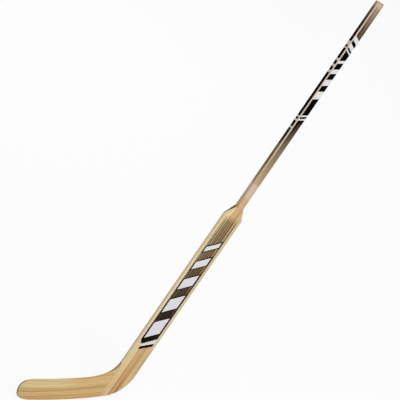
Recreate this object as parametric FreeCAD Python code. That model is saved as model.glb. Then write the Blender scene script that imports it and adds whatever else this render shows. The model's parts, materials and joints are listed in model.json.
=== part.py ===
"""Goalkeeper's ice hockey stick of glued wood, faced with glass cloth.

A laminated handle runs from the butt down through the paddle to the sole. A slat glued to each
side of it makes the paddle, which is planed thinner than the handle from the shoulders down. The
blade is three planks glued edge to edge, and its tongue fills a slot that is sawn up through the
paddle's front slat and into the handle. A sheet of glass cloth faces the paddle and the blade on
each side, and a strip of it faces each side of the handle.

Frame: millimetres, +Z up. The sole stands on z = 0, the blade points along -X, the handle rises
towards +X, and the front face looks along -Y. The origin is on the sole, at mid thickness, where
the blade meets the paddle.
"""

import FreeCAD, Part
import math
import os

V = FreeCAD.Vector

# Lengths from the heel corner, where the paddle's rear edge would meet the sole if it were square.
OVERALL_LENGTH = 1450.0
PADDLE_LENGTH = 653.0
SHOULDER_LENGTH = 35.0
BLADE_LENGTH = 385.0
LIE_DEGREES = 65.0

# Sections of the handle, the paddle and the blade.
HANDLE_WIDTH = 30.0
HANDLE_THICKNESS = 16.5
PADDLE_WIDTH = 86.5
PADDLE_THICKNESS = 10.0
BLADE_HEIGHT = 73.0
BLADE_MID_THICKNESS = 8.5
BLADE_TOE_THICKNESS = 7.5
BLADE_MID_SHARE = 0.4
TOE_CURVE_DEPTH = 38.0

# Round stretches of the outline: how far from its corner each curve starts and ends.
HEEL_RUN_ON_SOLE = 80.0
HEEL_RUN_ON_PADDLE = 72.0
THROAT_RUN_ON_BLADE = 96.0
THROAT_RUN_ON_PADDLE = 50.0
TOE_RUN_ON_TOP = 52.0
TOE_RUN_ON_SOLE = 48.0
TOE_NOSE_LOW = 28.5
TOE_NOSE_HIGH = 32.5
SHOULDER_RADIUS = 9.0

# Edge rounds.
EDGE_RADIUS = 3.0
HANDLE_CORNER_RADIUS = 4.5
BUTT_RADIUS = 2.5

# Lamination: glass cloth on the faces, plies across the handle, planks up the blade.
GLASS_THICKNESS = 0.5
PLY_COUNT = 5
LOWER_PLANK_HEIGHT = 30.0
MIDDLE_PLANK_HEIGHT = 14.5

# The blade's tongue, which fills the slot in the paddle's foot.
TONGUE_THICKNESS = 4.0
TONGUE_TOP_MARGIN = 9.0
TONGUE_PLIES = 2

# How far cutting shapes run past the stick.
OVERRUN = 20.0

# How far up the shoulders the paddle's thickness, and how far down them the handle's, leads their easing.
SHOULDER_EASE_SHARE = 0.5

# A face of the paddle or blade is a broad one if its normal points this much through the thickness.
BROAD_NORMAL_SHARE = 0.8

# What follows from the sizes above.
LIE = math.radians(LIE_DEGREES)
UP_STICK = V(math.cos(LIE), 0, math.sin(LIE))
ACROSS = V(-math.sin(LIE), 0, math.cos(LIE))
HEEL = V(PADDLE_WIDTH / math.sin(LIE), 0, 0)
THROAT = V(BLADE_HEIGHT / math.tan(LIE), 0, BLADE_HEIGHT)
TOE_X = HEEL.x - BLADE_LENGTH
SHOULDER_TOP = PADDLE_LENGTH + SHOULDER_LENGTH
SLAT_WIDTH = (PADDLE_WIDTH - HANDLE_WIDTH) / 2
HANDLE_FRONT = SLAT_WIDTH + HANDLE_WIDTH
PLY_WIDTH = HANDLE_WIDTH / PLY_COUNT
TONGUE_ROOT = HANDLE_FRONT - TONGUE_PLIES * PLY_WIDTH
TONGUE_TOP = BLADE_HEIGHT - TONGUE_TOP_MARGIN
MIDDLE_PLANK_TOP = LOWER_PLANK_HEIGHT + MIDDLE_PLANK_HEIGHT
REACH = OVERALL_LENGTH + BLADE_LENGTH
HALF_REACH = HANDLE_THICKNESS + TOE_CURVE_DEPTH + OVERRUN


def on_stick(along, across):
    """Point of the mid plane: along the stick from the heel, and across it from the rear edge."""
    return HEEL + UP_STICK * along + ACROSS * across


def on_blade(from_heel, height):
    """Point of the mid plane of the flat blade: towards the toe from the heel, and up from the sole."""
    return V(HEEL.x - from_heel, 0, height)


def bend(start, corner, end):
    """Curve that leaves start and reaches end along the two lines that meet at corner."""
    curve = Part.BezierCurve()
    curve.setPoles([start, corner, end])
    return curve.toShape()


def rounded(before, corner, after, radius):
    """Arc that rounds the corner between two straight lines."""
    back = (before - corner).normalize()
    onward = (after - corner).normalize()
    half_angle = back.getAngle(onward) / 2
    run = radius / math.tan(half_angle)
    middle = (back + onward).normalize() * (radius / math.sin(half_angle) - radius)
    return Part.Arc(corner + back * run, corner + middle, corner + onward * run).toShape()


def face_through(stretches):
    """Flat face whose edge follows the given curves and points in order, with lines between them."""
    def is_curve(stretch):
        return isinstance(stretch, Part.Edge)

    edges = []
    for stretch, following in zip(stretches, stretches[1:] + stretches[:1]):
        leave = stretch.valueAt(stretch.LastParameter) if is_curve(stretch) else stretch
        arrive = following.valueAt(following.FirstParameter) if is_curve(following) else following
        if is_curve(stretch):
            edges.append(stretch)
        edges.append(Part.makeLine(leave, arrive))
    return Part.Face(Part.Wire(edges))


def through_thickness(face, low, high):
    """The face, drawn in the mid plane, as a solid between two depths."""
    return face.translated(V(0, low, 0)).extrude(V(0, high - low, 0))


def side_outline():
    """Side view of the paddle and the blade, up to the top of the shoulders."""
    rear_top = on_stick(SHOULDER_TOP, SLAT_WIDTH)
    front_top = on_stick(SHOULDER_TOP, HANDLE_FRONT)
    rear_shoulder = on_stick(PADDLE_LENGTH, 0)
    front_shoulder = on_stick(PADDLE_LENGTH, PADDLE_WIDTH)
    toe_sole = on_blade(BLADE_LENGTH, 0)
    toe_top = on_blade(BLADE_LENGTH, BLADE_HEIGHT)
    return face_through([
        bend(on_blade(HEEL_RUN_ON_SOLE, 0), HEEL, on_stick(HEEL_RUN_ON_PADDLE, 0)),
        rounded(HEEL, rear_shoulder, rear_top, SHOULDER_RADIUS),
        rear_top,
        front_top,
        rounded(front_top, front_shoulder, THROAT, SHOULDER_RADIUS),
        bend(THROAT + UP_STICK * THROAT_RUN_ON_PADDLE, THROAT, THROAT - V(THROAT_RUN_ON_BLADE, 0, 0)),
        bend(toe_top + V(TOE_RUN_ON_TOP, 0, 0), toe_top, on_blade(BLADE_LENGTH, TOE_NOSE_HIGH)),
        bend(on_blade(BLADE_LENGTH, TOE_NOSE_LOW), toe_sole, toe_sole + V(TOE_RUN_ON_SOLE, 0, 0)),
    ])


def plan_side(side, depth):
    """One face of paddle and blade seen from above, at a depth under it, from the butt to past the toe."""
    stations = ((0, PADDLE_THICKNESS), (BLADE_MID_SHARE, BLADE_MID_THICKNESS), (1, BLADE_TOE_THICKNESS))
    points = []
    for share, thickness in stations:
        points.append(V(TOE_X * share, TOE_CURVE_DEPTH * share ** 2 + side * (thickness / 2 - depth), 0))
    toe_way = V(TOE_X, 2 * TOE_CURVE_DEPTH, 0).normalize()
    curve = Part.BSplineCurve()
    curve.interpolate(Points=points, InitialTangent=V(-1, 0, 0), FinalTangent=toe_way)
    butt_end = points[0] + V(REACH, 0, 0)
    return butt_end, curve, points[-1] + toe_way * OVERRUN


def plan_solid(depth):
    """Everything between the faces of the paddle and blade, at a depth under each, as tall as the stick."""
    front_butt, front_curve, front_toe = plan_side(-1, depth)
    back_butt, back_curve, back_toe = plan_side(1, depth)
    back_curve.reverse()
    front = [front_butt, front_curve.toShape(), front_toe]
    back = [back_toe, back_curve.toShape(), back_butt]
    face = face_through(front + back)
    return face.translated(V(0, 0, -OVERRUN)).extrude(V(0, 0, REACH))


def shoulder_side(side, depth):
    """One face of the shoulders seen edge on: it eases from the paddle's face out to the handle's."""
    ease = SHOULDER_LENGTH * SHOULDER_EASE_SHARE
    stations = (
        (PADDLE_LENGTH, PADDLE_THICKNESS),
        (PADDLE_LENGTH + ease, PADDLE_THICKNESS),
        (SHOULDER_TOP - ease, HANDLE_THICKNESS),
        (SHOULDER_TOP, HANDLE_THICKNESS),
    )
    poles = []
    for along, thickness in stations:
        poles.append(on_stick(along, -OVERRUN) + V(0, side * (thickness / 2 - depth), 0))
    if side > 0:
        poles.reverse()
    curve = Part.BezierCurve()
    curve.setPoles(poles)
    return curve.toShape()


def shoulder_solid(depth):
    """Everything between the two faces of the shoulders, at a depth under each, wider than the paddle."""
    face = face_through([shoulder_side(-1, depth), shoulder_side(1, depth)])
    return face.extrude(ACROSS * (PADDLE_WIDTH + 2 * OVERRUN))


def space_between_faces(depth):
    """Everything between the front and the back of the blade, paddle and shoulders, at a depth under each."""
    return plan_solid(depth).fuse(shoulder_solid(depth))


def band(low_along, high_along, low_across, high_across, half_depth=HALF_REACH):
    """Block that lies along the stick."""
    corners = [
        on_stick(low_along, low_across),
        on_stick(high_along, low_across),
        on_stick(high_along, high_across),
        on_stick(low_along, high_across),
    ]
    return through_thickness(face_through(corners), -half_depth, half_depth)


def level(low, high):
    """Block between two heights above the sole."""
    block = Part.makeBox(2 * REACH, 2 * HALF_REACH, high - low)
    return block.translated(V(-REACH, -HALF_REACH, low))


def broad_edges(solid):
    """Edges between the broad faces and the outline, apart from those across the handle at the top."""
    uses = {}
    for face in solid.Faces:
        u_low, u_high, v_low, v_high = face.ParameterRange
        normal = face.normalAt((u_low + u_high) / 2, (v_low + v_high) / 2)
        if abs(normal.y) > BROAD_NORMAL_SHARE:
            for edge in face.Edges:
                uses.setdefault(edge.hashCode(), []).append(edge)
    outer = [edges[0] for edges in uses.values() if len(edges) == 1]
    top_zone = on_stick(SHOULDER_TOP - EDGE_RADIUS, 0)
    return [edge for edge in outer if (edge.CenterOfMass - top_zone).dot(UP_STICK) < 0]


def paddle_and_blade():
    """Outer form of the paddle and the blade: the side view cut to the plan, with its edges rounded."""
    sawn = through_thickness(side_outline(), -HALF_REACH, HALF_REACH).common(space_between_faces(0))
    return sawn.makeFillet(EDGE_RADIUS, broad_edges(sawn))


def handle_above_paddle():
    """Outer form of the handle from the shoulders up, with round corners and a round butt."""
    bar = band(SHOULDER_TOP, OVERALL_LENGTH, SLAT_WIDTH, HANDLE_FRONT, HANDLE_THICKNESS / 2)
    corners = [edge for edge in bar.Edges if edge.Length > HANDLE_WIDTH]
    bar = bar.makeFillet(HANDLE_CORNER_RADIUS, corners)
    butt = max(bar.Faces, key=lambda face: face.CenterOfMass.dot(UP_STICK))
    return bar.makeFillet(BUTT_RADIUS, butt.Edges)


def faced(form, wood_space):
    """Splits a form into its wood core and the glass cloth on its front and back."""
    front, back = sorted(form.cut(wood_space).Solids, key=lambda sheet: sheet.CenterOfMass.y)
    return form.common(wood_space), front, back


def one_solid(shape):
    """The single solid that a cut or a joint leaves, without needless seams."""
    solid, = shape.removeSplitter().Solids
    return solid


def build():
    wood, front_glass, back_glass = faced(paddle_and_blade(), space_between_faces(GLASS_THICKNESS))
    handle_space = band(0, REACH, 0, PADDLE_WIDTH, HANDLE_THICKNESS / 2 - GLASS_THICKNESS)
    handle, handle_front_glass, handle_back_glass = faced(handle_above_paddle(), handle_space)
    pieces = {
        "front_glass": front_glass,
        "back_glass": back_glass,
        "handle_front_glass": handle_front_glass,
        "handle_back_glass": handle_back_glass,
    }

    # The tongue is as tall as the slot, and is left on the planks when the slot is sawn.
    saw_path = band(-REACH, REACH, TONGUE_ROOT, PADDLE_WIDTH, TONGUE_THICKNESS / 2)
    slot = saw_path.common(level(-OVERRUN, TONGUE_TOP))
    slotted = wood.cut(slot)
    blade = wood.common(band(-REACH, REACH, PADDLE_WIDTH, REACH).fuse(slot))

    for number in range(PLY_COUNT):
        ply = band(-REACH, REACH, HANDLE_FRONT - (number + 1) * PLY_WIDTH, HANDLE_FRONT - number * PLY_WIDTH)
        pieces[f"handle_ply_{number + 1}"] = slotted.common(ply).fuse(handle.common(ply))
    pieces["paddle_front_slat"] = slotted.common(band(-REACH, REACH, HANDLE_FRONT, PADDLE_WIDTH))
    pieces["paddle_rear_slat"] = slotted.common(band(-REACH, REACH, -OVERRUN, SLAT_WIDTH))
    pieces["blade_lower_plank"] = blade.common(level(-OVERRUN, LOWER_PLANK_HEIGHT))
    pieces["blade_middle_plank"] = blade.common(level(LOWER_PLANK_HEIGHT, MIDDLE_PLANK_TOP))
    pieces["blade_upper_plank"] = blade.common(level(MIDDLE_PLANK_TOP, REACH))
    return {name: one_solid(shape) for name, shape in pieces.items()}


os.makedirs("parts", exist_ok=True)
for name, piece in build().items():
    piece.exportStep(f"parts/{name}.step")
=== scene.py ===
import functools
import json
import math
from typing import NamedTuple

import bmesh
import bpy
from mathutils import Color, Matrix, Vector


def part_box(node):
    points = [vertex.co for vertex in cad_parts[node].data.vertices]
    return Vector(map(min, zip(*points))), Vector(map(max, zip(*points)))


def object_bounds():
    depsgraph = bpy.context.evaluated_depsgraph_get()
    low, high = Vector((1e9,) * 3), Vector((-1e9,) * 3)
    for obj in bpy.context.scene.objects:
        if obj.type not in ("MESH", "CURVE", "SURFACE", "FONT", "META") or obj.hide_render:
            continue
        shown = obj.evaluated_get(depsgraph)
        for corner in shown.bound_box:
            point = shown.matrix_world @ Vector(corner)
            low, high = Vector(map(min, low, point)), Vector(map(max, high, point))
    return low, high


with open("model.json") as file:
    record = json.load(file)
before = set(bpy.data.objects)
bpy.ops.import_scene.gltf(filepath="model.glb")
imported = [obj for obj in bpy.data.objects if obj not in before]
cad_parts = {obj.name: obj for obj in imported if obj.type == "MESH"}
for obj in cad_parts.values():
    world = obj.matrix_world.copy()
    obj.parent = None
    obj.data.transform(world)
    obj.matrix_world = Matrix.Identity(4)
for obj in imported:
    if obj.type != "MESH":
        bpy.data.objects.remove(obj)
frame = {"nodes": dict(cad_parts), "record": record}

bl_info = {
    "name": "Goalkeeper's Stick Finish",
    "version": (1, 0, 0),
    "blender": (4, 5, 0),
    "location": "View3D > Sidebar > Stick",
    "description": "Wood, glass cloth, print and lacquer for a goalkeeper's stick, and a studio for it",
    "category": "Material",
}

CAD_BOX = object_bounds()
MM = 1000.0
FLOAT, COLOUR, VECTOR = "NodeSocketFloat", "NodeSocketColor", "NodeSocketVector"
WHITE, BLACK = (1.0, 1.0, 1.0), (0.0, 0.0, 0.0)

# The stick's own directions, read from the flat end of the handle.
BUTT_END = next(mount for mount in frame["record"]["mounts"] if mount["name"] == "butt")
BUTT = Vector(BUTT_END["pos_m"])
UP_STICK = Vector(BUTT_END["axis"]).normalized()
TOE_WAY = Vector((-UP_STICK.z, 0.0, UP_STICK.x))
ALONG_BLADE = Vector((1.0, 0.0, 0.0))

# Sizes of the solids. Lengths here and in later constants are in millimetres, unless a comment says metres.
HALF_PADDLE = -BUTT.dot(TOE_WAY) * MM
HEEL_ALONG = 2 * HALF_PADDLE * UP_STICK.x / UP_STICK.z
STICK_LENGTH = BUTT.dot(UP_STICK) * MM - HEEL_ALONG
HALF_THICKNESS = -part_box("handle_front_glass")[0].y * MM
LOWER_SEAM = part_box("blade_middle_plank")[0].z * MM
UPPER_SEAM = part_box("blade_middle_plank")[1].z * MM
BLADE_REACH = -CAD_BOX[0].x * MM

# One number per lath, which shifts its grain away from its neighbours'. Plies and planks count up one by one.
FIRST_PLY_GRAIN = 1.0
SLAT_GRAINS = {"front_slat": 7.0, "rear_slat": 8.0}
PLANK_GRAINS = {"lower_plank": 10.0, "middle_plank": 11.0, "upper_plank": 12.0}

# The handle's plies from the toe side to the heel side, counted from 0.
PLY_WOODS = ("birch", "aspen", "birch", "aspen", "birch")
MIDDLE_PLY = 2
FIRST_REAR_PLY = 3


def shade(red, green, blue):
    """A display colour from 0 to 255 as the linear colour that a shader takes."""
    return tuple(Color((red / 255, green / 255, blue / 255)).from_srgb_to_scene_linear())


def number(name, default, description, **kind):
    """A property that holds one number."""
    return bpy.props.FloatProperty(name=name, description=description, default=default, **kind)


# Lengths are in metres, the power of a light is in watts, and a ratio may be a little over 1.
length = functools.partial(number, unit="LENGTH", precision=4)
power = functools.partial(number, unit="POWER")
ratio = functools.partial(number, subtype="FACTOR", min=0.0, max=2.0)


def angle(name, default, description):
    """An angle, given in degrees."""
    return number(name, math.radians(default), description, subtype="ANGLE", unit="ROTATION")


def colour(name, default, description):
    """A colour, given in display values from 0 to 255."""
    return bpy.props.FloatVectorProperty(
        name=name, description=description, default=shade(*default), subtype="COLOR", size=3, min=0.0, max=1.0
    )


class StickSizes(bpy.types.PropertyGroup):
    """Sizes that the finish follows."""

    handle_width: length("Handle width", 0.030, "Across the broad side of the handle")
    ply_width: length("Ply width", 0.006, "Width of one handle ply across the broad side")
    bare_broad: length("Bare broad edge", 0.0029, "Width of the two worn corners on the handle's broad sides")
    bare_narrow: length("Bare narrow edge", 0.0034, "Width of the same corners on the handle's narrow sides")
    toe_curve: length("Toe curve", 0.038, "How far the blade's toe bends towards the back")
    ring_spacing: length("Ring spacing", 0.0078, "Distance between growth rings on the planks")
    slat_ring_spacing: length("Slat ring spacing", 0.009, "Distance between growth rings on slats and plies")
    weave_pitch: length("Weave pitch", 0.0016, "Distance between threads of the glass cloth")


class WoodTones(bpy.types.PropertyGroup):
    """Colours of the lacquered laths and of the glue between them."""

    front_slat_foot: colour("Front slat foot", (217, 190, 143), "Front paddle slat beside the sole")
    front_slat: colour("Front slat", (220, 200, 154), "Front paddle slat further up")
    rear_slat_foot: colour("Rear slat foot", (211, 183, 135), "Rear paddle slat beside the sole")
    rear_slat: colour("Rear slat", (205, 182, 132), "Rear paddle slat further up")
    # Sanded wood, with a painted highlight of the rounded edge in it.
    sanded_edge: colour("Sanded edge", (232, 218, 194), "Outer edges of both paddle slats")
    birch_foot: colour("Birch foot", (193, 154, 107), "First, third and fifth handle ply in the lower paddle")
    birch: colour("Birch", (199, 168, 121), "First, third and fifth handle ply further up")
    aspen_foot: colour("Aspen foot", (201, 160, 114), "Second and fourth handle ply in the lower paddle")
    aspen: colour("Aspen", (207, 176, 131), "Second and fourth handle ply further up")
    middle_ply_shade: ratio("Middle ply shade", 1.1, "Light that the middle ply reflects beside the others")
    rear_ply_shade: ratio("Rear ply shade", 0.88, "Light that the two rear plies reflect beside the others")
    upper_plank: colour("Upper plank", (218, 196, 150), "Pale top plank of the blade")
    upper_plank_heel: colour("Upper plank heel", (212, 182, 129), "Top plank of the blade beside the paddle")
    middle_plank: colour("Middle plank", (200, 170, 116), "Brown middle plank of the blade")
    lower_plank: colour("Lower plank", (210, 180, 129), "Tan bottom plank of the blade along its upper edge")
    lower_plank_sole: colour("Lower plank sole", (202, 166, 112), "Bottom plank of the blade along the sole")
    glue: colour("Glue", (120, 84, 48), "Glue lines between the laths")


class PrintDesign(bpy.types.PropertyGroup):
    """The print on the paddle and the handle."""

    ink: colour("Ink", (4, 3, 3), "Dark ink of bands, lines and fades")
    # On the handle's worn corners this pale ink also paints a highlight.
    pale: colour("Pale ink", (212, 211, 214), "Pale ink of bars, slashes and worn corners")
    band_centre: length("Band centre", 0.002, "Middle of the band, from the paddle's middle to the toe side")
    band_width: length("Band width", 0.063, "Width of the paddle's dark band")
    band_foot: length("Band foot", 0.1825, "Lower end of the band, along the stick from the heel")
    line_pitch: length("Line pitch", 0.0093, "Distance between the fine lines in the band")
    slant: ratio("Slant", 0.673, "Rise of the band's slashes and of its foot per width")
    handle_slant: ratio("Handle slant", 0.42, "Rise of the handle's bars per width")


class StudioSettings(bpy.types.PropertyGroup):
    """Floor, lights and camera."""

    floor_width: length("Floor width", 60.0, "Side of the square floor")
    floor_tone: ratio("Floor tone", 0.92, "How pale the floor is")
    floor_glow: ratio("Floor glow", 0.9, "Share of the floor's look that is plain white")
    sky: ratio("Sky", 0.31, "Strength of the even light from all around")
    light_width: length("Light width", 2.6, "Side of each square light")
    key: power("Key", 128.0, "Watts of the large light in front of the stick")
    fill: power("Fill", 12.0, "Watts of the large light on the camera's right")
    rear: power("Rear", 70.0, "Watts of the large light behind the stick")
    azimuth: angle("Azimuth", -42.9399, "Camera's bearing, from the front towards the blade")
    elevation: angle("Elevation", 23.9447, "Camera's height above the horizon")
    roll: angle("Roll", 16.3609, "Camera's turn about its own axis")
    distance: length("Distance", 9.4708, "Camera's distance from the point that it looks at")
    view_width: length("View width", 1.22004, "Width that the camera sees at that distance")
    target: bpy.props.FloatVectorProperty(
        name="Target", description="Point that the camera looks at", default=(0.20683, 0.02813, 0.66176),
        subtype="TRANSLATION", unit="LENGTH", size=3,
    )


# Half the width over which a printed edge turns from bare to inked.
PRINT_SOFT = 0.5


class Streaks(NamedTuple):
    """A noise drawn out along the grain, in cycles per millimetre, with a shift from lath to lath."""

    along: float
    sideways: float
    detail: float
    roughness: float = 0.5
    shift: float = 0.0


class Wiring:
    """Adds nodes to one shader tree. A socket given as a value is linked, and anything else is set."""

    def __init__(self, tree):
        self.tree = tree

    def node(self, kind, sockets=None, **settings):
        """A new node with these socket values and settings."""
        made = self.tree.nodes.new(kind)
        for name, value in settings.items():
            setattr(made, name, value)
        for key, value in (sockets or {}).items():
            self.feed(made.inputs[key], value)
        return made

    def feed(self, socket, value):
        """Links or sets one input socket."""
        if isinstance(value, bpy.types.NodeSocket):
            self.tree.links.new(value, socket)
        elif socket.type == "RGBA":
            socket.default_value = (*value[:3], 1.0)
        else:
            socket.default_value = value

    def group(self, tree, **sockets):
        """The outputs of a node group, placed with these socket values."""
        named = {name.replace("_", " ").capitalize(): value for name, value in sockets.items()}
        return self.node("ShaderNodeGroup", named, node_tree=tree).outputs

    def math(self, operation, *values):
        """One step of arithmetic."""
        return self.node("ShaderNodeMath", dict(enumerate(values)), operation=operation).outputs[0]

    def fold(self, operation, *values):
        """All values taken together by one kind of arithmetic, from the first to the last."""
        return functools.reduce(functools.partial(self.math, operation), values)

    add = functools.partialmethod(fold, "ADD")
    times = functools.partialmethod(fold, "MULTIPLY")
    most = functools.partialmethod(fold, "MAXIMUM")
    less = functools.partialmethod(math, "SUBTRACT")
    over = functools.partialmethod(math, "DIVIDE")
    size = functools.partialmethod(math, "ABSOLUTE")
    sign = functools.partialmethod(math, "SIGN")
    above = functools.partialmethod(math, "GREATER_THAN")
    below = functools.partialmethod(math, "LESS_THAN")

    def apart(self, a, b):
        """How far two values are apart."""
        return self.size(self.less(a, b))

    def but(self, a):
        """One minus a mask."""
        return self.less(1.0, a)

    def choose(self, mask, on, off):
        """One value where a mask is 1, and another where it is 0."""
        return self.add(self.times(on, mask), self.times(off, self.but(mask)))

    def rise(self, value, low, high):
        """A smooth step from 0 at low to 1 at high, which may be the smaller one."""
        sockets = {"Value": value, "From Min": low, "From Max": high}
        return self.node("ShaderNodeMapRange", sockets, interpolation_type="SMOOTHSTEP").outputs["Result"]

    def past(self, value, place, soft=PRINT_SOFT):
        """1 past a place, with a soft edge."""
        return self.rise(value, place - soft, place + soft)

    def before(self, value, place, soft=PRINT_SOFT):
        """1 before a place, with a soft edge."""
        return self.rise(value, place + soft, place - soft)

    def between(self, value, low, high, soft=PRINT_SOFT):
        """1 from low to high, with soft edges."""
        return self.times(self.past(value, low, soft), self.before(value, high, soft))

    def stripe(self, value, pitch, width):
        """1 on stripes of a width, repeated at a pitch, one of them starting at 0."""
        turn = self.math("FRACT", self.over(self.add(value, (pitch - width) / 2), pitch))
        return self.before(self.times(self.apart(turn, 0.5), pitch), width / 2)

    def profile(self, value, stations):
        """A value that runs straight from one (place, height) station to the next."""
        first, last = stations[0][0], stations[-1][0]
        sockets = {"Value": value, "From Min": first, "From Max": last}
        share = self.node("ShaderNodeMapRange", sockets).outputs["Result"]
        ramp = self.node("ShaderNodeValToRGB", {"Fac": share})
        elements = ramp.color_ramp.elements
        for place, _ in stations[1:-1]:
            elements.new((place - first) / (last - first))
        for element, (_, height) in zip(elements, stations):
            element.color = (height, height, height, 1.0)
        return ramp.outputs["Color"]

    def mix(self, share, a, b, blend="MIX"):
        """The first colour, with a share of the second."""
        node = self.node("ShaderNodeMix", {0: share, 6: a, 7: b}, data_type="RGBA", blend_type=blend)
        return node.outputs[2]

    def tinted(self, tone, tint):
        """A colour times a tint."""
        return self.mix(1.0, tone, tint, "MULTIPLY")

    def shaded(self, tone, share):
        """A colour that reflects only this share of its light."""
        return self.tinted(tone, (share, share, share))

    def join(self, x, y, z):
        """A vector of three values."""
        return self.node("ShaderNodeCombineXYZ", {0: x, 1: y, 2: z}).outputs[0]

    def dot(self, vector, direction):
        """How far a vector reaches in a direction."""
        node = self.node("ShaderNodeVectorMath", {0: vector, 1: direction}, operation="DOT_PRODUCT")
        return node.outputs["Value"]

    def noise(self, vector, detail, roughness=0.5, scale=1.0):
        """A noise texture's value, from 0 to 1."""
        sockets = {"Vector": vector, "Scale": scale, "Detail": detail, "Roughness": roughness}
        return self.node("ShaderNodeTexNoise", sockets).outputs[0]

    def streaks(self, texture, place, grain=None):
        """The noise that a Streaks texture describes, shifted by a lath's grain number if there is one."""
        ways = {"Along": texture.along, "Across": texture.sideways, "Through": texture.sideways}
        parts = [self.times(place[way], cycles) for way, cycles in ways.items()]
        if grain is not None:
            start = self.times(grain, texture.shift)
            parts = [self.add(part, start) for part in parts]
        return self.noise(self.join(*parts), texture.detail, texture.roughness)

    def swing(self, value):
        """A value from 0 to 1 as one that swings around 0."""
        return self.less(value, 0.5)


def node_group(name, inputs, outputs):
    """A new shader node group with sockets of these kinds: its wiring, its inputs and its outputs."""
    tree = bpy.data.node_groups.new(name, "ShaderNodeTree")
    for in_out, sockets in (("INPUT", inputs), ("OUTPUT", outputs)):
        for label, kind in sockets.items():
            tree.interface.new_socket(label, in_out=in_out, socket_type=kind)
    wiring = Wiring(tree)
    source = wiring.node("NodeGroupInput").outputs
    sink = wiring.node("NodeGroupOutput").inputs
    return wiring, source, sink


def built_once(build):
    """Gives the node group that a function builds, made the first time that it is asked for."""

    @functools.wraps(build)
    def find():
        name = build.__name__
        if name not in bpy.data.node_groups:
            build(name)
        return bpy.data.node_groups[name]

    return find


ON_FACE = {"Along": FLOAT, "Across": FLOAT}
IN_LATH = {**ON_FACE, "Through": FLOAT}


@built_once
def stick_place(name):
    """Places in millimetres: along, across and through the stick, and along, up and through the blade."""
    sizes = bpy.context.scene.stick_sizes
    places = {**IN_LATH, "Toeward": FLOAT, "Height": FLOAT, "Bent through": FLOAT}
    w, source, sink = node_group(name, {"Position": VECTOR}, places)
    position = source["Position"]
    x, y, z = w.node("ShaderNodeSeparateXYZ", {0: position}).outputs
    toeward = w.times(x, -MM)
    through = w.times(y, MM)
    bend = w.math("POWER", w.over(w.most(toeward, 0.0), BLADE_REACH), 2.0)
    w.feed(sink["Along"], w.less(w.times(w.dot(position, UP_STICK), MM), HEEL_ALONG))
    w.feed(sink["Across"], w.add(w.times(w.dot(position, TOE_WAY), MM), HALF_PADDLE))
    w.feed(sink["Through"], through)
    w.feed(sink["Toeward"], toeward)
    w.feed(sink["Height"], w.times(z, MM))
    w.feed(sink["Bent through"], w.less(through, w.times(bend, sizes.toe_curve * MM)))


# Growth rings: how they lie across and through a lath, wander along it and shift from lath to lath.
RING_WANDER = Streaks(0.0035, 0.022, 2.0, shift=7.31)
WANDER_REACH = 26.0
RING_ACROSS, RING_THROUGH = 0.82, 0.57
RING_SHIFT = 3.7
# The parts of a ring over which its wood darkens and clears again, and the faintest ring beside the darkest.
LATE_WOOD, RING_END, FAINTEST_RING = (0.2, 0.9), (1.0, 0.93), 0.3
# How dark all rings are on planks and on laths.
PLANK_RING_DEPTH, LATH_RING_DEPTH = 1.1, 0.7

FIBRES = Streaks(0.018, 1.5, 4.0, roughness=0.65, shift=3.17)
PORES = Streaks(0.06, 3.2, 1.0, shift=5.93)
DRIFT = Streaks(0.0045, 0.035, 2.0, shift=9.77)
# Noise values at which a pore starts and is full, and how many pores show between the dark rings.
PORE_EDGE = (0.58, 0.70)
EARLY_PORES = 0.12

# How far each part of the figure takes a lath from its pale tint to its dark one, and its relief.
RING_SHADE, FIBRE_SHADE, PORE_SHADE, DRIFT_SHADE, EVEN_SHADE = 0.55, 0.55, 0.55, 0.75, 0.12
PALE_TINT, DARK_TINT = (1.05, 1.05, 1.05), (0.66, 0.56, 0.44)
FIBRE_HEIGHT, PORE_DEPTH = 0.4, 0.6


@built_once
def wood_figure(name):
    """Growth rings, fibres, pores and slow drift of tone, from places in millimetres in a lath."""
    inputs = {**IN_LATH, "Grain": FLOAT, "Tone": COLOUR, "Ring spacing": FLOAT, "Ring depth": FLOAT}
    w, source, sink = node_group(name, inputs, {"Colour": COLOUR, "Height": FLOAT})
    grain = source["Grain"]
    depth = w.add(
        w.times(source["Across"], RING_ACROSS),
        w.times(source["Through"], RING_THROUGH),
        w.times(w.swing(w.streaks(RING_WANDER, source, grain)), WANDER_REACH),
        w.times(grain, RING_SHIFT),
    )
    ring = w.over(depth, source["Ring spacing"])
    turn = w.math("FRACT", ring)
    ring_number = w.add(w.math("FLOOR", ring), grain)
    chance = w.node("ShaderNodeTexWhiteNoise", {"W": ring_number}, noise_dimensions="1D").outputs["Value"]
    strength = w.add(w.times(chance, 1.0 - FAINTEST_RING), FAINTEST_RING)
    late = w.times(w.rise(turn, *LATE_WOOD), w.rise(turn, *RING_END), strength, source["Ring depth"])
    fibre = w.streaks(FIBRES, source, grain)
    pores = w.times(w.rise(w.streaks(PORES, source, grain), *PORE_EDGE), w.add(late, EARLY_PORES))
    dark = w.add(
        w.times(late, RING_SHADE),
        w.times(w.swing(fibre), FIBRE_SHADE),
        w.times(pores, PORE_SHADE),
        w.times(w.swing(w.streaks(DRIFT, source, grain)), DRIFT_SHADE),
        EVEN_SHADE,
    )
    figured = w.mix(dark, w.tinted(source["Tone"], PALE_TINT), w.tinted(source["Tone"], DARK_TINT))
    w.feed(sink["Colour"], figured)
    w.feed(sink["Height"], w.less(w.times(fibre, FIBRE_HEIGHT), w.times(pores, PORE_DEPTH)))


# End grain: how steeply the surface has to cut the grain, its vessels, and what the lacquer makes of it.
CUT_SLOPE = (0.3, 0.58)
VESSELS_PER_MM, VESSEL_DETAIL = 2.4, 2.0
LEAST_SOAK, VESSEL_SOAK = 0.8, 0.36
SOAKED_TINT = (0.11, 0.068, 0.026)


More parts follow.
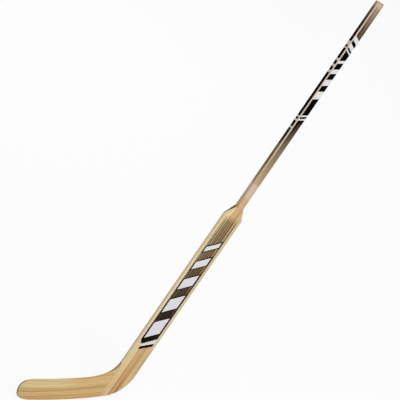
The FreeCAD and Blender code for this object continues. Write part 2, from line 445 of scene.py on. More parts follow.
@built_once
def end_grain(name):
    """Darkens wood where the surface cuts across the grain and the lacquer soaks in."""
    inputs = {"Colour": COLOUR, "Normal": VECTOR, "Grain way": VECTOR}
    inputs.update({"Across": FLOAT, "Through": FLOAT, "Soak": FLOAT})
    w, source, sink = node_group(name, inputs, {"Colour": COLOUR})
    slope = w.size(w.dot(source["Normal"], source["Grain way"]))
    across, through = (w.times(source[way], VESSELS_PER_MM) for way in ("Across", "Through"))
    vessels = w.noise(w.join(across, through, 0.0), VESSEL_DETAIL)
    uneven = w.add(LEAST_SOAK, w.times(vessels, VESSEL_SOAK))
    soaked = w.times(w.rise(slope, *CUT_SLOPE), source["Soak"], uneven)
    w.feed(sink["Colour"], w.mix(soaked, source["Colour"], w.tinted(source["Colour"], SOAKED_TINT)))


# Where a lath's foot tone turns into its main tone, along the stick.
SLAT_FOOT, PLY_FOOT = (25.0, 90.0), (70.0, 170.0)


def lath_tone(w, along, wood):
    """A lath's tone, which changes from its foot up."""
    tones = bpy.context.scene.stick_tones
    foot = SLAT_FOOT if wood in SLAT_GRAINS else PLY_FOOT
    return w.mix(w.rise(along, *foot), getattr(tones, wood + "_foot"), getattr(tones, wood))


# Glue lines: distances from a seam at which they start and are full, how strongly they show, and how far past
# the handle's edge they are drawn.
GLUE_LINE, GLUE_SHARE, GLUE_REACH = (0.45, 0.15), 0.35, 1.0
# A stain beside the handle's outer seams, and a dark streak above the heel: its place across, width and top.
# The shares are their strengths beside a glue line's.
STAIN_WIDTH, STAIN_SHARE = (2.4, 0.6), 0.5
STREAK_PLACE, STREAK_WIDTH, STREAK_TOP, STREAK_SHARE = -5.0, (4.5, 1.0), (62.0, 18.0), 1.4


@built_once
def lath_seams(name):
    """Which lath of the paddle or handle lies under a point of the glass: its grain, tone and glue lines."""
    sizes, tones = bpy.context.scene.stick_sizes, bpy.context.scene.stick_tones
    w, source, sink = node_group(name, ON_FACE, {"Grain": FLOAT, "Tone": COLOUR, "Glue": FLOAT})
    along, across = source["Along"], source["Across"]
    ply, edge = sizes.ply_width * MM, sizes.handle_width * MM / 2
    turn = w.over(w.less(edge, across), ply)
    index = w.math("FLOOR", turn)
    in_handle = w.below(w.size(across), edge)
    front = w.above(across, 0.0)
    front_grain, rear_grain = SLAT_GRAINS["front_slat"], SLAT_GRAINS["rear_slat"]
    slat_grain = w.add(w.times(front, front_grain - rear_grain), rear_grain)
    slat_tone = w.mix(front, lath_tone(w, along, "rear_slat"), lath_tone(w, along, "front_slat"))
    second_wood = w.math("MODULO", index, 2.0)
    ply_tone = w.mix(second_wood, lath_tone(w, along, PLY_WOODS[0]), lath_tone(w, along, PLY_WOODS[1]))
    rear = w.above(index, FIRST_REAR_PLY - 0.5)
    ply_tone = w.mix(rear, ply_tone, w.shaded(ply_tone, tones.rear_ply_shade))
    middle = w.math("COMPARE", index, MIDDLE_PLY, 0.5)
    ply_tone = w.mix(middle, ply_tone, w.shaded(ply_tone, tones.middle_ply_shade))
    w.feed(sink["Grain"], w.choose(in_handle, w.add(index, FIRST_PLY_GRAIN), slat_grain))
    w.feed(sink["Tone"], w.mix(in_handle, slat_tone, ply_tone))
    seam = w.times(w.apart(turn, w.math("ROUND", turn)), ply)
    lines = w.times(w.rise(seam, *GLUE_LINE), w.below(w.size(across), edge + GLUE_REACH))
    stain = w.times(w.rise(w.apart(w.size(across), edge), *STAIN_WIDTH), STAIN_SHARE)
    streak = w.rise(w.apart(across, STREAK_PLACE), *STREAK_WIDTH)
    streak = w.times(streak, w.rise(along, *STREAK_TOP), STREAK_SHARE)
    w.feed(sink["Glue"], w.most(lines, stain, streak))


# Across the band: where one of its fine lines starts, how far they reach to the heel side, and how wide the
# broad line there is.
FIRST_LINE, FINE_LINES_FROM, BROAD_LINE = 1.7, -18.5, 5.0
# Ink on the lines and between them, at places along the stick.
LINE_FADE = (
    (180.0, 1.0), (310.0, 0.985), (440.0, 0.95), (520.0, 0.87), (575.0, 0.83), (632.0, 0.77), (654.0, 0.0),
)
GAP_FADE = (
    (180.0, 0.99), (310.0, 0.89), (433.0, 0.70), (520.0, 0.52), (575.0, 0.39), (632.0, 0.28), (654.0, 0.0),
)
# The corner that is cut off the band's foot: its rise per width, and its drop below the foot at the middle.
CORNER_SLANT, CORNER_DROP = 1.08, 34.5
# Pale slashes from the foot up: their heights, the first one's place, the gaps, half their width and the rim.
SLASHES = (58.0, 48.0, 38.0, 28.0, 18.0)
FIRST_SLASH, SLASH_GAP, HALF_SLASH, SLASH_RIM = 24.0, 38.0, 24.0, 4.5
# The tail below the foot: its slant and toe side, and a pale and a dark bar in distances below the foot.
TAIL_SLANT, TAIL_SIDE = 0.54, 17.5
TAIL_TOP, TAIL_MIDDLE, TAIL_END = 0.5, 13.0, 24.0
TAIL_PALE = 0.92
# The faint pale ground beside the band, on the heel side and on the toe side. A span holds a start, an end
# and the softness of both.
REAR_GROUND = ((150.0, 0.0), (180.0, 0.19), (300.0, 0.18), (450.0, 0.13), (640.0, 0.11), (670.0, 0.0))
TOE_GROUND, TOE_GROUND_SIDE = 0.16, (41.0, 34.0)
TOE_GROUND_SPAN = (175.0, 490.0, 25.0)


@built_once
def paddle_print(name):
    """The paddle's print over the wood: a band of fine lines that fades upwards, pale slashes and a tail."""
    design = bpy.context.scene.stick_print
    w, source, sink = node_group(name, {**ON_FACE, "Wood": COLOUR}, {"Colour": COLOUR, "Ink": FLOAT})
    along = source["Along"]
    offset = w.less(source["Across"], design.band_centre * MM)
    foot, half = design.band_foot * MM, design.band_width * MM / 2
    pitch = design.line_pitch * MM

    lines = w.stripe(w.less(offset, FIRST_LINE), pitch, pitch / 2)
    lines = w.times(lines, w.past(offset, FINE_LINES_FROM))
    lines = w.most(lines, w.between(offset, -half, BROAD_LINE - half))
    ink = w.choose(lines, w.profile(along, LINE_FADE), w.profile(along, GAP_FADE))
    cut = w.add(along, w.times(offset, design.slant))
    corner = w.less(along, w.times(offset, CORNER_SLANT))
    above_foot = w.times(w.past(cut, foot), w.past(corner, foot - CORNER_DROP))
    ink = w.times(ink, w.between(offset, -half, half), above_foot)

    slashes, rims = [], []
    low = foot + FIRST_SLASH
    for height in SLASHES:
        slashes.append(w.between(cut, low, low + height))
        rims.append(w.between(cut, low - SLASH_RIM, low + height + SLASH_RIM))
        low += height + SLASH_GAP
    half_rim = HALF_SLASH + SLASH_RIM
    pale = w.times(w.most(*slashes), w.between(offset, -HALF_SLASH, HALF_SLASH))
    rim = w.times(w.most(*rims), w.between(offset, -half_rim, half_rim))

    tail = w.add(along, w.times(offset, TAIL_SLANT))
    in_tail = w.between(offset, -half, TAIL_SIDE)
    tail_pale = w.times(w.past(tail, foot - TAIL_MIDDLE), w.before(cut, foot - TAIL_TOP), in_tail)
    tail_ink = w.times(w.between(tail, foot - TAIL_END, foot - TAIL_MIDDLE), in_tail)
    ink = w.most(ink, rim, tail_ink)
    pale = w.most(pale, w.times(tail_pale, TAIL_PALE))

    rear_ground = w.times(w.below(offset, -half), w.profile(along, REAR_GROUND))
    toe_ground = w.times(w.rise(offset, *TOE_GROUND_SIDE), w.above(offset, half), TOE_GROUND)
    toe_ground = w.times(toe_ground, w.between(along, *TOE_GROUND_SPAN))
    ground = w.mix(w.add(rear_ground, toe_ground), source["Wood"], WHITE)
    w.feed(sink["Colour"], w.mix(pale, w.mix(ink, ground, design.ink), design.pale))
    w.feed(sink["Ink"], w.most(ink, pale))


# Ink on the handle's broad and narrow sides, at places along the stick.
BROAD_FADE = (
    (768.0, 0.0), (780.0, 0.31), (860.0, 0.54), (920.0, 0.72), (1000.0, 0.93), (1010.0, 1.0), (1312.0, 1.0),
    (1328.0, 0.79), (1354.0, 0.78), (1426.0, 0.45), (1440.0, 0.06), (STICK_LENGTH, 0.0),
)
NARROW_FADE = (
    (768.0, 0.0), (780.0, 0.27), (840.0, 0.47), (856.0, 0.61), (886.0, 0.67), (896.0, 0.53), (922.0, 0.62),
    (932.0, 0.92), (965.0, 0.93), (990.0, 1.0), (1335.0, 1.0), (1342.0, 0.94), (1366.0, 0.84),
    (1426.0, 0.70), (1440.0, 0.22), (STICK_LENGTH, 0.0),
)
# Streaks in the ink, strongest where it covers half: this scale makes a mask times its opposite 1 there.
INK_STREAKS, INK_STREAK_SHADE = Streaks(0.02, 0.9, 2.0), 0.2
HALF_COVER_SCALE = 4.0
# More ink on the broad sides along the bare corners, and on the narrow sides away from them.
BESIDE_CORNER, BESIDE_WIDTH = 6.5, (5.5, 1.5)
BESIDE_INK = (
    (880.0, 0.0), (950.0, 0.09), (1010.0, 0.1), (1350.0, 0.1), (1370.0, 0.06), (1425.0, 0.06), (1440.0, 0.0),
)
AWAY_FROM_CORNER = (-2.0, 4.0)
AWAY_INK = (
    (768.0, 0.0), (785.0, 0.12), (840.0, 0.24), (975.0, 0.24), (1000.0, 0.1), (1350.0, 0.1), (1425.0, 0.08),
    (1440.0, 0.0),
)
# Less ink in the middle of the broad sides below the butt, and more beside it.
CORE_WIDTH, CORE_SHADE, CORE_SPAN = (0.5, 8.0), 0.15, (1352.0, 1436.0, 12.0)
# Dots of ink where the dark part ends.
INK_DOTS, DOT_EDGE, DOT_INK, DOTS_SPAN = Streaks(0.8, 0.8, 1.0), (0.56, 0.60), 0.5, (1318.0, 1346.0, 6.0)
# Softness of the bare corners, and the width over which the broad side's print turns into the narrow side's.
CORNER_SOFT, SIDE_TURN = 0.25, 1.0
# Pale bars that rise or fall round the handle, on all sides, the broad or the narrow, from place to place.
RISING_BARS = ((1011.0, 1016.5), (1024.0, 1029.5))
FALLING_BARS = ((1274.0, 1279.0), (1286.0, 1300.0))
BROAD_RISING_BARS = ((1090.0, 1118.0), (1140.0, 1162.0), (1184.0, 1200.0), (1222.0, 1232.0))
BROAD_FALLING_BARS = ((1312.0, 1327.0),)
NARROW_RISING_BARS = ((1190.0, 1198.0), (1212.0, 1220.0), (1234.0, 1242.0))
NARROW_FALLING_BARS = ((978.0, 984.0),)
# A pale veil over both ends of the print, with a slanted start on the broad sides, and the worn corners,
# whose paler tone is partly a painted highlight of their rounding.
VEIL = (
    (700.0, 0.27), (768.0, 0.27), (780.0, 0.14), (820.0, 0.08), (900.0, 0.05), (980.0, 0.0), (1335.0, 0.0),
    (1365.0, 0.01), (1405.0, 0.05), (1440.0, 0.12), (STICK_LENGTH, 0.2),
)
VEIL_SLANT, VEIL_START, SIDE_VEIL_START = 0.4, (712.0, 732.0), (672.0, 750.0)
CORNER_WEAR_AND_HIGHLIGHT = ((768.0, 0.0), (800.0, 0.1), (980.0, 0.5), (1330.0, 0.5), (1400.0, 0.38), (STICK_LENGTH, 0.3))


@built_once
def handle_print(name):
    """The handle's print over the wood: dark, faded at both ends, with pale bars, a veil and worn corners
    with a painted highlight on them.
    """
    sizes, design = bpy.context.scene.stick_sizes, bpy.context.scene.stick_print
    w, source, sink = node_group(name, {**IN_LATH, "Wood": COLOUR}, {"Colour": COLOUR, "Ink": FLOAT})
    along, across, through = source["Along"], source["Across"], source["Through"]
    half_width = sizes.handle_width * MM / 2
    broad_edge, narrow_edge = sizes.bare_broad * MM, sizes.bare_narrow * MM
    width_in = w.less(half_width, w.size(across))
    depth_in = w.less(HALF_THICKNESS, w.size(through))
    on_narrow = w.rise(depth_in, narrow_edge - SIDE_TURN, narrow_edge)
    on_broad = w.but(on_narrow)
    bare = w.times(
        w.before(width_in, broad_edge, CORNER_SOFT),
        w.before(depth_in, narrow_edge, CORNER_SOFT),
        w.below(w.times(across, through), 0.0),
    )

    fade = w.choose(on_narrow, w.profile(along, NARROW_FADE), w.profile(along, BROAD_FADE))
    half_covered = w.times(fade, w.but(fade), HALF_COVER_SCALE)
    to_corner = w.times(across, w.sign(through), -1.0)
    beside_corner = w.times(w.rise(w.apart(to_corner, BESIDE_CORNER), *BESIDE_WIDTH), on_broad)
    from_corner = w.times(w.rise(w.times(through, w.sign(across)), *AWAY_FROM_CORNER), on_narrow)
    core = w.swing(w.rise(w.size(across), *CORE_WIDTH))
    ink = w.add(
        fade,
        w.times(w.swing(w.streaks(INK_STREAKS, source)), half_covered, INK_STREAK_SHADE),
        w.times(beside_corner, w.profile(along, BESIDE_INK)),
        w.times(from_corner, w.profile(along, AWAY_INK)),
        w.times(core, CORE_SHADE, w.between(along, *CORE_SPAN)),
    )
    dots = w.rise(w.streaks(INK_DOTS, source), *DOT_EDGE)
    dots = w.times(dots, w.between(along, *DOTS_SPAN), DOT_INK)
    ink = w.node("ShaderNodeClamp", {0: w.times(w.most(ink, dots), w.but(bare))}).outputs[0]

    round_handle = w.less(w.less(half_width, across), w.times(w.sign(across), depth_in))
    climb = w.times(round_handle, design.handle_slant)
    rising, falling = w.less(along, climb), w.add(along, climb)

    def bars(rising_bars, falling_bars):
        """1 on all of these bars."""
        up = [w.between(rising, low, high) for low, high in rising_bars]
        down = [w.between(falling, low, high) for low, high in falling_bars]
        return w.most(*up, *down)

    pale = w.most(
        bars(RISING_BARS, FALLING_BARS),
        w.times(bars(BROAD_RISING_BARS, BROAD_FALLING_BARS), on_broad),
        w.times(bars(NARROW_RISING_BARS, NARROW_FALLING_BARS), on_narrow),
    )
    veil_start = w.rise(w.less(along, w.times(across, VEIL_SLANT)), *VEIL_START)
    side_veil_start = w.times(on_narrow, w.rise(along, *SIDE_VEIL_START))
    veil = w.times(w.profile(along, VEIL), w.most(veil_start, side_veil_start))
    # Bare corners made paler: worn wood and a painted highlight of the rounded corner.
    edge_tone = w.times(bare, w.profile(along, CORNER_WEAR_AND_HIGHLIGHT))
    pale = w.most(w.times(pale, w.but(bare)), veil, edge_tone)
    w.feed(sink["Colour"], w.mix(pale, w.mix(ink, source["Wood"], design.ink), design.pale))
    w.feed(sink["Ink"], w.most(ink, pale))


@built_once
def glass_cloth(name):
    """The plain weave of glass threads that shows faintly under the lacquer."""
    turn = 2 * math.pi / (bpy.context.scene.stick_sizes.weave_pitch * MM)
    w, source, sink = node_group(name, ON_FACE, {"Height": FLOAT})
    warp, weft = (w.math("SINE", w.times(source[way], turn)) for way in ("Across", "Along"))
    w.feed(sink["Height"], w.times(warp, weft))


# Lacquer: brush marks, roughness that they and the ink change, and a coat that is thinner over ink.
BRUSH_MARKS = Streaks(0.03, 0.25, 3.0)
LEAST_ROUGHNESS, BRUSHED_ROUGHNESS, INKED_ROUGHNESS = 0.34, 0.2, -0.06
BARE_COAT, INKED_COAT = 0.06, 0.01
COAT_ROUGHNESS, SPECULAR_LEVEL = 0.2, 0.008
# Relief: its share, its strength and its depth in metres as a bump, and the weave's height in it.
RELIEF_SHARE, BUMP_STRENGTH, BUMP_DEPTH = 0.5, 0.12, 0.0006
WEAVE_HEIGHT = 0.15


@built_once
def lacquer_coat(name):
    """Slight waviness and sheen of a brushed coat of lacquer, which is thinner over ink."""
    outputs = {"Roughness": FLOAT, "Height": FLOAT, "Coat": FLOAT}
    w, source, sink = node_group(name, {**IN_LATH, "Ink": FLOAT}, outputs)
    ink = source["Ink"]
    waves = w.streaks(BRUSH_MARKS, source)
    rough = w.add(LEAST_ROUGHNESS, w.times(waves, BRUSHED_ROUGHNESS), w.times(ink, INKED_ROUGHNESS))
    w.feed(sink["Roughness"], rough)
    w.feed(sink["Height"], waves)
    w.feed(sink["Coat"], w.add(BARE_COAT, w.times(ink, INKED_COAT - BARE_COAT)))


def new_material(name):
    """An empty node material and its wiring."""
    material = bpy.data.materials.new(name)
    material.use_nodes = True
    material.node_tree.nodes.clear()
    return material, Wiring(material.node_tree)


def place_on_stick(w):
    """The coordinates that every finish reads: places in the stick, and the surface's direction."""
    coordinates = w.node("ShaderNodeTexCoord").outputs
    return w.group(stick_place(), position=coordinates["Object"]), coordinates["Normal"]


def on_face(place):
    """A point's place on the stick's broad faces, for a node group."""
    return {"along": place["Along"], "across": place["Across"]}


def in_stick(place):
    """A point's place in the stick, for a node group."""
    return {**on_face(place), "through": place["Through"]}


def lacquered(w, place, base, height, ink=0.0):
    """Closes a material with lacquer over a base colour."""
    coat = w.group(lacquer_coat(), **in_stick(place), ink=ink)
    relief = w.times(w.add(height, coat["Height"]), RELIEF_SHARE)
    bump = w.node("ShaderNodeBump", {"Strength": BUMP_STRENGTH, "Distance": BUMP_DEPTH, "Height": relief})
    surface = w.node("ShaderNodeBsdfPrincipled", {
        "Base Color": base,
        "Roughness": coat["Roughness"],
        "Normal": bump.outputs[0],
        "Specular IOR Level": SPECULAR_LEVEL,
        "Coat Weight": coat["Coat"],
        "Coat Roughness": COAT_ROUGHNESS,
    })
    w.node("ShaderNodeOutputMaterial", {"Surface": surface.outputs[0]})


def woven(w, place, height):
    """A relief with the weave of the glass cloth in it."""
    weave = w.group(glass_cloth(), **on_face(place))["Height"]
    return w.add(height, w.times(weave, WEAVE_HEIGHT))


def lath_figure(w, place, grain, tone):
    """Wood of the handle or the paddle, with its grain up the stick."""
    spacing = bpy.context.scene.stick_sizes.slat_ring_spacing * MM
    return w.group(
        wood_figure(), **in_stick(place), grain=grain, tone=tone,
        ring_spacing=spacing, ring_depth=LATH_RING_DEPTH,
    )


def plank_figure(w, place, grain, tone):
    """Wood of the blade, with its grain towards the toe."""
    spacing = bpy.context.scene.stick_sizes.ring_spacing * MM
    return w.group(
        wood_figure(), along=place["Toeward"], across=place["Height"], through=place["Bent through"],
        grain=grain, tone=tone, ring_spacing=spacing, ring_depth=PLANK_RING_DEPTH,
    )


# The slats' sanded outer edges, paler as sanded wood and as a painted highlight of their rounding, in
# distances from the paddle's edge.
SANDED_HIGHLIT_EDGE, SANDED_HIGHLIGHT_SHARE = (2.5, 1.0), 0.6
# End grain shows on laths from the shoulders up, there as a wedge that thins outwards, and less on planks.
# The end grain's darkening is real; the wedge's pale front is painted light of a rounded front edge that the
# solid lacks.
SOAKED_FROM = (600.0, 640.0)
WEDGE_SLOPE, WEDGE_FRONT = 0.15, (-4.2, -1.8)
FULL_SOAK, PLANK_SOAK = 1.0, 0.45


def lath_material(name, grain, wood, share=1.0, printed=False):
    """A lacquered lath: a handle ply with the handle's print, or a bare paddle slat with sanded edges that
    carry a painted highlight.
    """
    sizes, tones = bpy.context.scene.stick_sizes, bpy.context.scene.stick_tones
    material, w = new_material(name)
    place, normal = place_on_stick(w)
    out = w.size(place["Across"])
    tone = w.shaded(lath_tone(w, place["Along"], wood), share)
    soak = w.rise(place["Along"], *SOAKED_FROM)
    if not printed:
        # Paler outer edges: sanded wood and a painted highlight of their rounding.
        sanded_highlight = w.rise(w.less(HALF_PADDLE, out), *SANDED_HIGHLIT_EDGE)
        tone = w.mix(w.times(sanded_highlight, SANDED_HIGHLIGHT_SHARE), tone, tones.sanded_edge)
        # The wedge: the soak thins to a pale front, painted light of a rounded front edge that the solid
        # lacks.
        past_handle = w.less(out, sizes.handle_width * MM / 2)
        behind_wedge = w.less(place["Through"], w.times(past_handle, WEDGE_SLOPE))
        soak = w.times(soak, w.rise(behind_wedge, *WEDGE_FRONT))
    figure = lath_figure(w, place, grain, tone)
    base = w.group(
        end_grain(), colour=figure["Colour"], normal=normal, grain_way=UP_STICK,
        across=place["Across"], through=place["Through"], soak=soak,
    )["Colour"]
    ink = 0.0
    if printed:
        inked = w.group(handle_print(), **in_stick(place), wood=base)
        base, ink = inked["Colour"], inked["Ink"]
    lacquered(w, place, base, figure["Height"], ink)
    return material


# Where the top plank's heel tone ends, towards the toe, and the bottom plank's sole tone, upwards.
HEEL_TONE, SOLE_TONE = (60.0, 170.0), (4.0, 26.0)


def plank_tone(w, place, plank):
    """A blade plank's tone. The top one turns darker towards the heel and the bottom one towards the sole."""
    tones = bpy.context.scene.stick_tones
    if plank == "upper_plank":
        return w.mix(w.rise(place["Toeward"], *HEEL_TONE), tones.upper_plank_heel, tones.upper_plank)
    if plank == "lower_plank":
        return w.mix(w.rise(place["Height"], *SOLE_TONE), tones.lower_plank_sole, tones.lower_plank)
    return tones.middle_plank


def plank_material(name, grain, plank):
    """A lacquered plank of the blade."""
    material, w = new_material(name)
    place, normal = place_on_stick(w)
    figure = plank_figure(w, place, grain, plank_tone(w, place, plank))
    base = w.group(
        end_grain(), colour=figure["Colour"], normal=normal, grain_way=ALONG_BLADE,
        across=place["Height"], through=place["Bent through"], soak=PLANK_SOAK,
    )["Colour"]
    lacquered(w, place, base, figure["Height"])
    return material


# Painted shade along the paddle's edges, where their rounding turns away from the light, in distances from
# the toe side's edge and from the heel side's.
TOE_EDGE_SHADE, TOE_EDGE_SHADE_SHARE = (10.0, 1.0), 0.15
REAR_EDGE_SHADE, REAR_SHADE_RIM, REAR_EDGE_SHADE_SHARE = (12.0, 6.0), (-1.0, 4.0), 0.18


def faced_laths(w, place):
    """Wood of the paddle or handle as it shows through the clear glass: its colour, with painted shade along
    the paddle's edges, and its relief.
    """
    lath = w.group(lath_seams(), **on_face(place))
    figure = lath_figure(w, place, lath["Grain"], lath["Tone"])
    glued = w.mix(w.times(lath["Glue"], GLUE_SHARE), figure["Colour"], bpy.context.scene.stick_tones.glue)
    from_toe_edge = w.less(HALF_PADDLE, place["Across"])
    from_rear_edge = w.add(HALF_PADDLE, place["Across"])
    # Painted shade: darker towards both edges of the paddle, strongest in a line just inside the heel side's
    # edge.
    toe_edge_shade = w.rise(from_toe_edge, *TOE_EDGE_SHADE)
    rear_edge_shade = w.times(w.rise(from_rear_edge, *REAR_EDGE_SHADE), w.rise(from_rear_edge, *REAR_SHADE_RIM))
    edge_tone = w.add(w.times(toe_edge_shade, TOE_EDGE_SHADE_SHARE), w.times(rear_edge_shade, REAR_EDGE_SHADE_SHARE))
    return w.mix(edge_tone, glued, BLACK), figure["Height"]


def faced_planks(w, place):
    """Wood of the blade as it shows through the clear glass: its figure's colour and relief."""
    above_lower = w.above(place["Height"], LOWER_SEAM)
    above_middle = w.above(place["Height"], UPPER_SEAM)
    lower, middle, upper = (plank_tone(w, place, plank) for plank in PLANK_GRAINS)
    tone = w.mix(above_middle, w.mix(above_lower, lower, middle), upper)
    grain = w.add(above_lower, above_middle, PLANK_GRAINS["lower_plank"])
    figure = plank_figure(w, place, grain, tone)
    return figure["Colour"], figure["Height"]


def dress(material, *nodes):
    """Puts a finish on pieces of the stick."""
    for node in nodes:
        slots = frame["nodes"][node].material_slots
        if not slots:
            raise RuntimeError(f"{node} has no material slot for its finish")
        for slot in slots:
            slot.material = material


class STICK_OT_finish_handle(bpy.types.Operator):
    """Gives the five handle plies their wood, and the print on the handle's narrow sides"""

    bl_idname = "stick.finish_handle"
    bl_label = "Finish Handle Plies"

    def execute(self, context):
        tones = context.scene.stick_tones
        shares = [1.0] * FIRST_REAR_PLY + [tones.rear_ply_shade] * (len(PLY_WOODS) - FIRST_REAR_PLY)
        shares[MIDDLE_PLY] = tones.middle_ply_shade
        for index, (wood, share) in enumerate(zip(PLY_WOODS, shares)):
            name, grain = f"{wood}_ply_{index + 1}", FIRST_PLY_GRAIN + index
            dress(lath_material(name, grain, wood, share, printed=True), f"handle_ply_{index + 1}")
        return {"FINISHED"}


class STICK_OT_finish_paddle(bpy.types.Operator):
    """Gives the two paddle slats their wood"""

    bl_idname = "stick.finish_paddle"
    bl_label = "Finish Paddle Slats"

    def execute(self, context):
        for slat, grain in SLAT_GRAINS.items():
            dress(lath_material(f"{slat}_wood", grain, slat), f"paddle_{slat}")
        return {"FINISHED"}


class STICK_OT_finish_blade(bpy.types.Operator):
    """Gives the three blade planks their wood"""

    bl_idname = "stick.finish_blade"
    bl_label = "Finish Blade Planks"

    def execute(self, context):
        for plank, grain in PLANK_GRAINS.items():
            dress(plank_material(f"{plank}_wood", grain, plank), f"blade_{plank}")
        return {"FINISHED"}


# Half the width over which the paddle's face turns into the blade's.
FACE_SOFT = 0.1


class STICK_OT_finish_faces(bpy.types.Operator):
    """Gives the glass sheets on the paddle and blade their weave and print, with the wood showing through"""

    bl_idname = "stick.finish_faces"
    bl_label = "Finish Paddle and Blade Faces"

    def execute(self, context):
        material, w = new_material("faced_paddle_and_blade")
        place, _ = place_on_stick(w)
        paddle, paddle_height = faced_laths(w, place)
        blade, blade_height = faced_planks(w, place)
        inked = w.group(paddle_print(), **on_face(place), wood=paddle)
        on_blade = w.past(place["Across"], HALF_PADDLE, FACE_SOFT)
        joint = w.rise(w.apart(place["Across"], HALF_PADDLE), *GLUE_LINE)
        seams = [w.rise(w.apart(place["Height"], seam), *GLUE_LINE) for seam in (LOWER_SEAM, UPPER_SEAM)]
        glue = w.most(joint, w.times(w.most(*seams), on_blade))
        base = w.mix(on_blade, inked["Colour"], blade)
        base = w.mix(w.times(glue, GLUE_SHARE), base, context.scene.stick_tones.glue)
        relief = w.choose(on_blade, blade_height, paddle_height)
        lacquered(w, place, base, woven(w, place, relief), w.times(inked["Ink"], w.but(on_blade)))
        dress(material, "front_glass", "back_glass")
        return {"FINISHED"}


class STICK_OT_finish_handle_faces(bpy.types.Operator):
    """Gives the glass strips on the handle's broad sides their weave and print"""

    bl_idname = "stick.finish_handle_faces"
    bl_label = "Finish Handle Faces"

    def execute(self, context):
        material, w = new_material("faced_handle")
        place, normal = place_on_stick(w)
        wood, height = faced_laths(w, place)
        base = w.group(
            end_grain(), colour=wood, normal=normal, grain_way=UP_STICK,
            across=place["Across"], through=place["Through"], soak=FULL_SOAK,
        )["Colour"]
        inked = w.group(handle_print(), **in_stick(place), wood=base)
        lacquered(w, place, inked["Colour"], woven(w, place, height), inked["Ink"])
        dress(material, "handle_front_glass", "handle_back_glass")
        return {"FINISHED"}


# Where the lights hang from the middle of the stick, and how far the floor lies under the sole, in metres.
LIGHT_PLACES = {"key": (-0.75, -3.7, 2.1), "fill": (2.6, -2.6, 1.2), "rear": (1.0, 3.4, 2.2)}
FLOOR_GAP = 0.0002
# The floor paper's tooth: cycles per metre, detail, and how far it changes the tone.
TOOTH_SCALE, TOOTH_DETAIL, TOOTH_SHADE = 40.0, 2.0, 0.02


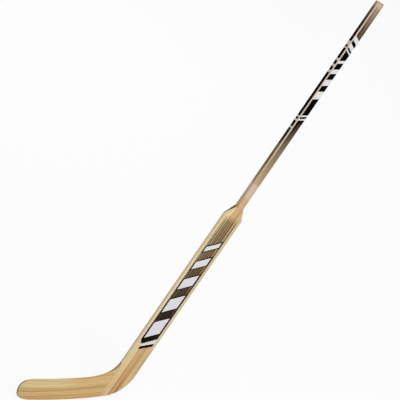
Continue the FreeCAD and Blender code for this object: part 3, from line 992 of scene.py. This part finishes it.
class STICK_OT_set_studio(bpy.types.Operator):
    """Lays a pale floor, hangs soft lights and sets the camera"""

    bl_idname = "stick.set_studio"
    bl_label = "Set Studio"

    def execute(self, context):
        studio = context.scene.stick_studio
        self.lay_floor(studio)
        self.light_sky(studio)
        middle = (CAD_BOX[0] + CAD_BOX[1]) / 2
        for name, place in LIGHT_PLACES.items():
            self.hang_light(f"{name}_light", middle, Vector(place), studio.light_width, getattr(studio, name))
        self.set_camera(studio)
        context.scene.view_settings.view_transform = "Standard"
        return {"FINISHED"}

    def seen_rays(self, w):
        """1 for the rays that show the backdrop to the camera."""
        rays = w.node("ShaderNodeLightPath").outputs
        return w.most(rays["Is Camera Ray"], rays["Is Glossy Ray"], rays["Is Transmission Ray"])

    def lay_floor(self, studio):
        """Lays a sheet of paper just under the sole."""
        mesh = bpy.data.meshes.new("studio_floor")
        shape = bmesh.new()
        bmesh.ops.create_grid(shape, x_segments=1, y_segments=1, size=studio.floor_width / 2)
        bmesh.ops.translate(shape, verts=shape.verts, vec=(0.0, 0.0, -FLOOR_GAP))
        shape.to_mesh(mesh)
        shape.free()
        floor = bpy.data.objects.new("studio_floor", mesh)
        bpy.context.scene.collection.objects.link(floor)
        material, w = new_material("floor_paper")
        position = w.node("ShaderNodeTexCoord").outputs["Object"]
        tooth = w.swing(w.noise(position, TOOTH_DETAIL, scale=TOOTH_SCALE))
        tone = w.add(studio.floor_tone, w.times(tooth, TOOTH_SHADE))
        paper = w.node("ShaderNodeBsdfDiffuse", {"Color": tone})
        white = w.node("ShaderNodeEmission", {"Color": WHITE, "Strength": 1.0})
        share = w.times(self.seen_rays(w), studio.floor_glow)
        look = w.node("ShaderNodeMixShader", {0: share, 1: paper.outputs[0], 2: white.outputs[0]})
        w.node("ShaderNodeOutputMaterial", {"Surface": look.outputs[0]})
        mesh.materials.append(material)

    def light_sky(self, studio):
        """Lights the stick evenly from all around, before a white backdrop."""
        world = bpy.data.worlds.new("studio_sky")
        world.use_nodes = True
        world.node_tree.nodes.clear()
        w = Wiring(world.node_tree)
        strength = w.add(studio.sky, w.times(self.seen_rays(w), 1.0 - studio.sky))
        sky = w.node("ShaderNodeBackground", {"Color": WHITE, "Strength": strength})
        w.node("ShaderNodeOutputWorld", {"Surface": sky.outputs[0]})
        bpy.context.scene.world = world

    def hang_light(self, name, middle, offset, width, watts):
        """Hangs one large square light that looks at the middle of the stick."""
        light = bpy.data.lights.new(name, "AREA")
        light.shape = "SQUARE"
        light.size = width
        light.energy = watts
        lamp = bpy.data.objects.new(name, light)
        lamp.location = middle + offset
        lamp.rotation_euler = (-offset).to_track_quat("-Z", "Y").to_euler()
        lamp.visible_camera = False
        bpy.context.scene.collection.objects.link(lamp)

    def set_camera(self, studio):
        """Sets the camera by its bearing, height, roll and distance."""
        bearing, height, roll = studio.azimuth, studio.elevation, studio.roll
        right = Vector((math.cos(bearing), math.sin(bearing), 0.0))
        forward = Vector((-math.sin(bearing), math.cos(bearing), 0.0))
        back = Vector((0.0, 0.0, math.sin(height))) - forward * math.cos(height)
        up = back.cross(right)
        turned_right = right * math.cos(roll) + up * math.sin(roll)
        turned_up = up * math.cos(roll) - right * math.sin(roll)
        turn = Matrix((turned_right, turned_up, back)).transposed()
        lens = bpy.data.cameras.new("studio_camera")
        lens.lens = lens.sensor_width * studio.distance / studio.view_width
        camera = bpy.data.objects.new("studio_camera", lens)
        place = Vector(studio.target) + back * studio.distance
        camera.matrix_world = Matrix.Translation(place) @ turn.to_4x4()
        bpy.context.scene.collection.objects.link(camera)
        bpy.context.scene.camera = camera


PROPERTY_GROUPS = {
    "stick_sizes": StickSizes,
    "stick_tones": WoodTones,
    "stick_print": PrintDesign,
    "stick_studio": StudioSettings,
}
OPERATORS = (
    STICK_OT_finish_handle,
    STICK_OT_finish_paddle,
    STICK_OT_finish_blade,
    STICK_OT_finish_faces,
    STICK_OT_finish_handle_faces,
    STICK_OT_set_studio,
)


class STICK_PT_finish(bpy.types.Panel):
    """Lists the steps of the finish and the values that they follow"""

    bl_label = "Goalkeeper's Stick"
    bl_idname = "STICK_PT_finish"
    bl_space_type = "VIEW_3D"
    bl_region_type = "UI"
    bl_category = "Stick"

    def draw(self, context):
        for operator in OPERATORS:
            self.layout.operator(operator.bl_idname)
        for holder, group in PROPERTY_GROUPS.items():
            box = self.layout.box()
            for name in group.__annotations__:
                box.prop(getattr(context.scene, holder), name)


def register():
    """Makes the properties, the operators and the panel known to Blender."""
    for holder, group in PROPERTY_GROUPS.items():
        bpy.utils.register_class(group)
        setattr(bpy.types.Scene, holder, bpy.props.PointerProperty(type=group))
    for shown in (*OPERATORS, STICK_PT_finish):
        bpy.utils.register_class(shown)


def unregister():
    """Takes them away again, in the opposite order."""
    for shown in (STICK_PT_finish, *reversed(OPERATORS)):
        bpy.utils.unregister_class(shown)
    for holder, group in reversed(PROPERTY_GROUPS.items()):
        delattr(bpy.types.Scene, holder)
        bpy.utils.unregister_class(group)


def main():
    """Finishes the stick step by step and sets the studio."""
    register()
    bpy.ops.stick.finish_handle()
    bpy.ops.stick.finish_paddle()
    bpy.ops.stick.finish_blade()
    bpy.ops.stick.finish_faces()
    bpy.ops.stick.finish_handle_faces()
    bpy.ops.stick.set_studio()


if __name__ == "__main__":
    main()
